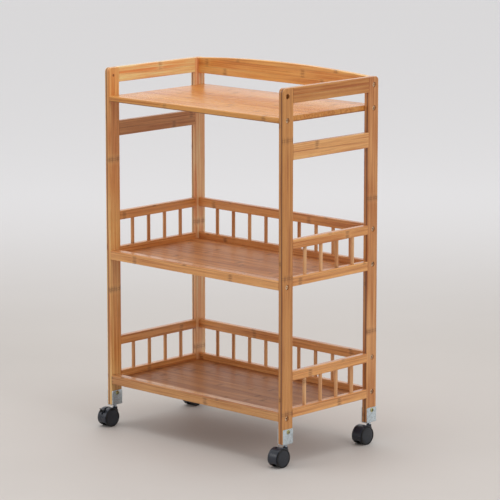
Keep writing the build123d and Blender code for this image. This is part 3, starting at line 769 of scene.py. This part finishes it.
def add_screws():
    """Pan head screws with a cross recess, two through each bracket."""
    low, high = low_high("bracket_screws")
    z = (low.z + high.z) / 2
    head = bmesh.new()
    lathe(head, soften(SCREW_PROFILE), Matrix.Identity(4), segments=40)
    at_top = Matrix.Translation((0, 0, SCREW_TOP))
    arms = [prism([(-a, -b), (a, -b), (a, b), (-a, b)], at_top, 2 * CROSS_DEPTH, EDGE["cross"])
            for a, b in (CROSS_ARM, CROSS_ARM[::-1])]
    for arm in arms:
        head_mesh = carve(head, arm)
        head = bmesh.new()
        head.from_mesh(head_mesh)
        bpy.data.meshes.remove(head_mesh)
    shape = bpy.data.meshes.new("screw")
    head.to_mesh(shape)
    head.free()
    for face in shape.polygons:
        x, y, depth = face.center
        # the recess's faces take the dark zinc: painted shade
        face.material_index = int(RECESS_SHADE[0] < depth < RECESS_SHADE[1] and math.hypot(x, y) < RECESS_REACH)
    places = []
    for index, prefix in enumerate(CASTERS):
        b_low, b_high = low_high(f"{prefix}_bracket")
        y = (b_low.y + b_high.y) / 2
        for x, way in ((b_low.x, "-X"), (b_high.x, "+X")):
            turn = Matrix.Rotation(math.radians(SCREW_TURN[0] + SCREW_TURN[1] * index), 4, "Z")
            places.append(placed(x, y, z, way) @ turn)
    add_piece("bracket_screws_headed", scatter(shape, places), "cart_frame", "bracket_screws",
              "screw_brass", YELLOW_ZINC, RECESS_SHADE_ZINC)


BOLT_PROFILE = [
    (-21, 0), (-21, 2.4), (-20.4, 3), (0, 3), (0, HEAD_RADIUS, 0.1), (HEAD_HEIGHT, HEAD_RADIUS, 0.7),
    (HEAD_HEIGHT, 0)]
BOLT_TURN = 0.4               # radians between one bolt's socket and the next
FRONT_BOLTS = (0.7325, 0.3825, 0.1015)   # heights in metres
BACK_BOLTS = (0.7825, 0.7325, 0.4710, 0.1900, 0.3945, 0.1135)


def add_bolts():
    """Hex socket bolts sunk in the outer leg faces."""
    head = bmesh.new()
    lathe(head, soften(BOLT_PROFILE), Matrix.Identity(4), segments=40)
    across = HEX_KEY / math.sqrt(3)
    key = [polar(60 * i, across) for i in range(6)]
    socket = prism(key, Matrix.Translation((0, 0, HEAD_HEIGHT)), 2 * KEY_DEPTH, EDGE["key"])
    shape = carve(head, socket)
    low, high = low_high("frame_bolts")
    places = []
    for side, way in ((low.x + HEAD_SUNK * MM, "-X"), (high.x - HEAD_SUNK * MM, "+X")):
        seat = side - math.copysign(HEAD_HEIGHT, side) * MM
        rows = ((low.y + HEAD_RADIUS * MM, FRONT_BOLTS), (high.y - HEAD_RADIUS * MM, BACK_BOLTS))
        for y, heights in rows:
            for index, z in enumerate(heights):
                places.append(placed(seat, y, z, way) @ Matrix.Rotation(BOLT_TURN * index, 4, "Z"))
    add_piece("frame_bolts_turned", scatter(shape, places), "cart_frame", "frame_bolts",
              "bolt_steel", BRONZE)


# ---- spindles -----------------------------------------------------------------------
SIDE_SPINDLES, BACK_SPINDLES = 4, 9
SPINDLE_SEEDS = {"left": 4.2, "right": 8.9, "back": 6.1}


def spindle_tiers():
    """Foot and head of the spindles of both tiers, in millimetres."""
    tiers = []
    for tier in ("middle", "lower"):
        foot = low_high(f"back_{tier}_low_rail")[1].z / MM - SPINDLE_TENON
        head = low_high(f"back_{tier}_guard_rail")[0].z / MM + SPINDLE_TENON
        tiers.append((foot, head))
    return tiers


def spindle_profile(foot, head):
    """A straight stick, chamfered at both ends."""
    along, across = SPINDLE_CHAMFER
    return soften([
        (foot, 0), (foot, SPINDLE_RADIUS - across), (foot + along, SPINDLE_RADIUS),
        ((foot + head) / 2, SPINDLE_RADIUS),
        (head - along, SPINDLE_RADIUS), (head, SPINDLE_RADIUS - across), (head, 0)])


def add_spindles(node, places, seed):
    """Round bamboo sticks, each from its own strip."""
    low, _ = low_high(node)
    bm = bmesh.new()
    for foot, head in spindle_tiers():
        for x, y in places:
            lathe(bm, spindle_profile(foot, head), placed(x, y, 0), segments=28)
    across = "X" if node == "back_spindles" else "Y"
    gap = SPINDLE_PITCH / 2 - SPINDLE_RADIUS * MM
    origin = low - Vector((gap, gap, 0))
    material = bamboo(node, "Z", across, origin, SPINDLE_PITCH, SPINDLE_PITCH, STRAW, seed)
    add_piece(f"{node}_turned", bm, "cart_frame", node, "bamboo_spindle", material)


def spaced(count):
    """Where count spindles stand along their row, from its middle, in metres."""
    return [(i - (count - 1) / 2) * SPINDLE_PITCH for i in range(count)]


def add_all_spindles():
    for side in ("left", "right"):
        middle = centre(f"{side}_spindles")
        places = [(middle.x, middle.y + step) for step in spaced(SIDE_SPINDLES)]
        add_spindles(f"{side}_spindles", places, SPINDLE_SEEDS[side])
    middle = centre("back_spindles")
    places = [(middle.x + step, middle.y) for step in spaced(BACK_SPINDLES)]
    add_spindles("back_spindles", places, SPINDLE_SEEDS["back"])


# ---- floor and light ----------------------------------------------------------------
BACKWARD = (-0.69, 0.73, 0.0)     # horizontally away from the camera's rest place
WORLD_RAMPS = ((BACKWARD, 0.30, 0.92), ((0, 0, 1), 0.0, 0.22))   # direction, dimmest, brightest
RAMP_SPAN = (-0.5, 0.9)           # cosines about the direction between which a ramp climbs
WORLD_TINT = (1.0, 0.985, 0.97, 1.0)
FLOOR_REACH = 40.0
FLOOR_FADE = (0.7, 3.4)           # metres behind the cart between which the floor turns paler
WHITE = (1.0, 1.0, 1.0)
WARM_WHITE = (1.0, 0.99, 0.98)
LIGHTS = (                        # name, place and target in metres, sizes, watts, colour
    ("right", (5.4, -0.3, 2.9), (0, 0, 0.4), (2.2, 2.2), 72, WARM_WHITE),
    ("front left", (-1.8, -3.0, 1.6), (0, 0, 0.4), (1.4, 1.4), 15, WARM_WHITE),
    ("overhead", (0.2, -0.2, 3.2), (0, 0, 0.8), (2.0, 1.6), 26, WHITE))


def add_floor():
    mesh = bpy.data.meshes.new("floor")
    corners = [(FLOOR_REACH * x, FLOOR_REACH * y, 0) for x, y in ((-1, -1), (1, -1), (1, 1), (-1, 1))]
    mesh.from_pydata(corners, [], [(0, 1, 2, 3)])
    floor = bpy.data.objects.new("floor", mesh)
    bpy.context.scene.collection.objects.link(floor)
    g = Graph("pale_floor")
    away = g.node("ShaderNodeVectorMath", {0: g.place(), 1: BACKWARD}, operation="DOT_PRODUCT")
    tone = g.mix(g.noise(g.place(), 3.0, 3.0), rgb(199, 194, 190), rgb(205, 200, 196))
    tone = g.mix(g.spread(away.outputs["Value"], *FLOOR_FADE), tone, rgb(243, 243, 246))
    mesh.materials.append(g.finish(Base_Color=tone, Roughness=0.65))


def add_area(name, place, target, size, power, colour):
    data = bpy.data.lights.new(name, "AREA")
    data.shape = "RECTANGLE"
    data.size, data.size_y = size
    data.energy = power
    data.color = colour
    light = bpy.data.objects.new(name, data)
    bpy.context.scene.collection.objects.link(light)
    light.location = place
    light.rotation_euler = (Vector(target) - Vector(place)).to_track_quat("-Z", "Y").to_euler()


def add_world():
    """A pale room, brightest on the wall behind the cart and overhead."""
    world = bpy.data.worlds.new("studio")
    world.use_nodes = True
    tree = world.node_tree
    place = tree.nodes.new("ShaderNodeTexCoord").outputs["Generated"]
    total = tree.nodes.new("ShaderNodeMath")
    for term, (direction, dimmest, brightest) in enumerate(WORLD_RAMPS):
        dot = tree.nodes.new("ShaderNodeVectorMath")
        dot.operation = "DOT_PRODUCT"
        dot.inputs[1].default_value = direction
        tree.links.new(place, dot.inputs[0])
        ramp = tree.nodes.new("ShaderNodeMapRange")
        ramp.interpolation_type = "SMOOTHSTEP"
        for index, value in enumerate((*RAMP_SPAN, dimmest, brightest), 1):
            ramp.inputs[index].default_value = value
        tree.links.new(dot.outputs["Value"], ramp.inputs[0])
        tree.links.new(ramp.outputs[0], total.inputs[term])
    background = tree.nodes["Background"]
    background.inputs[0].default_value = WORLD_TINT
    tree.links.new(total.outputs[0], background.inputs[1])
    bpy.context.scene.world = world


bpy.context.scene.view_settings.view_transform = "Standard"
add_camera()
dress_bamboo()
for node in NODES:
    if node.endswith(("_axle", "_pin")):
        dress(node, STEEL)
    elif node == "threaded_inserts":
        dress(node, YELLOW_ZINC)
for caster in CASTERS:
    add_wheels(caster)
    add_housing(caster)
    add_lever(caster)
    add_bracket(caster)
add_stems()
add_screws()
add_bolts()
add_all_spindles()
add_floor()
add_world()
for light in LIGHTS:
    add_area(*light)
